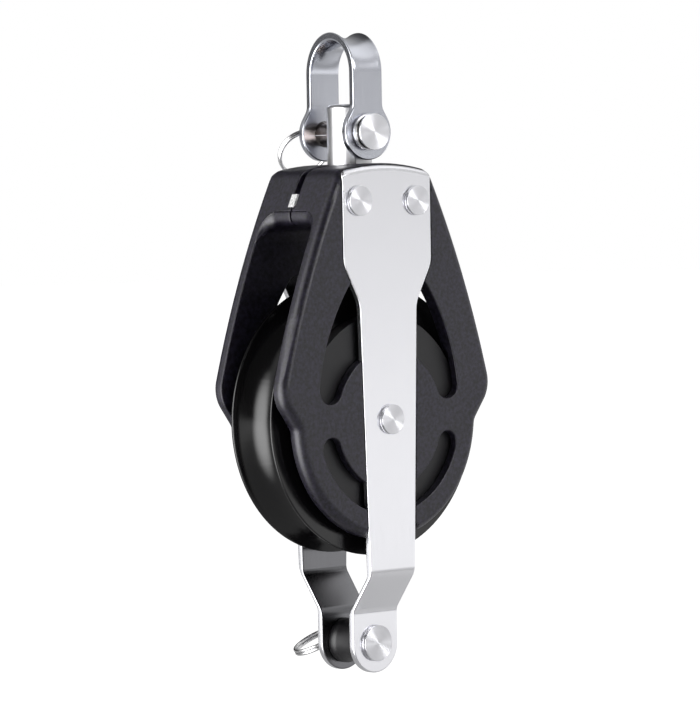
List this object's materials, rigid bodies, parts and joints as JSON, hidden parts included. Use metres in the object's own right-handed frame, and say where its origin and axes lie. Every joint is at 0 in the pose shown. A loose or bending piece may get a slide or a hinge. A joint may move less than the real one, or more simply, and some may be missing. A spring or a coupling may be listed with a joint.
{
  "type": "swivel becket block",
  "caption": "Single sailing block with a grooved sheave between moulded cheeks, steel side straps, a swivel shackle on top and a becket with a bush below.",
  "frame": {"origin": "centre of the sheave, on the axle", "axes": "+Z towards the shackle, Y along the axle with the front strap at -Y, X across the block"},
  "size_m": [0.0588, 0.0314, 0.1344],
  "materials": {
    "cheek_nylon": "matt, finely grained",
    "sheave_plastic": "smooth satin",
    "race_plastic": "satin",
    "bearing_plastic": "smooth",
    "strap_steel": "satin",
    "shackle_steel": "polished",
    "pin_steel": "turned",
    "post_steel": "turned and polished",
    "ring_steel": "polished wire"
  },
  "bodies": {
    "shackle": {"shackle_strap": "shackle_steel", "shackle_pin": "pin_steel"},
    "shackle_ring": {"shackle_ring": "ring_steel"},
    "post": {"swivel_post": "post_steel", "post_nut": "post_steel", "post_thrust_washer": "bearing_plastic"},
    "frame": {"front_cheek": "cheek_nylon", "rear_cheek": "cheek_nylon", "front_strap": "strap_steel", "rear_strap": "strap_steel", "head_rivet_left": "pin_steel", "head_rivet_right": "pin_steel", "axle": "pin_steel", "inner_race": "race_plastic", "swivel_anchor": "post_steel", "post_lower_washer": "bearing_plastic", "becket_pin": "pin_steel"},
    "sheave": {"sheave": "sheave_plastic", "front_race_cover": "race_plastic", "rear_race_cover": "race_plastic"},
    "balls": {"bearing_balls": "bearing_plastic"},
    "bush": {"becket_bush": "sheave_plastic"},
    "becket_ring": {"becket_ring": "ring_steel"}
  },
  "joints": [
    {"name": "shackle_pivot", "type": "hinge", "parent": "shackle", "child": "post", "pos_m": [0, 0, 0.0598], "axis": [0.1219, 0.9925, 0], "range_deg": [-95, 95]},
    {"name": "shackle_ring_swing", "type": "hinge", "parent": "shackle", "child": "shackle_ring", "pos_m": [0.0015, 0.01218, 0.0598], "axis": [0.9327, -0.1145, -0.342], "range_deg": [-9, 52]},
    {"name": "swivel_turn", "type": "hinge", "parent": "post", "child": "frame", "pos_m": [0, 0, 0.0485], "axis": [0, 0, 1], "continuous": true},
    {"name": "sheave_spin", "type": "hinge", "parent": "frame", "child": "sheave", "pos_m": [0, 0, 0], "axis": [0, 1, 0], "continuous": true},
    {"name": "ball_orbit", "type": "hinge", "parent": "frame", "child": "balls", "pos_m": [0, 0, 0], "axis": [0, 1, 0], "continuous": true},
    {"name": "becket_bush_turn", "type": "hinge", "parent": "frame", "child": "bush", "pos_m": [0, 0, -0.0471], "axis": [0, 1, 0], "continuous": true},
    {"name": "becket_ring_swing", "type": "hinge", "parent": "frame", "child": "becket_ring", "pos_m": [0, 0.0082, -0.0471], "axis": [0.91, 0, 0.4147], "range_deg": [-80, 80]}
  ],
  "couplings": [
    {"joint": "ball_orbit", "follows": "sheave_spin", "ratio": 0.59615}
  ]
}
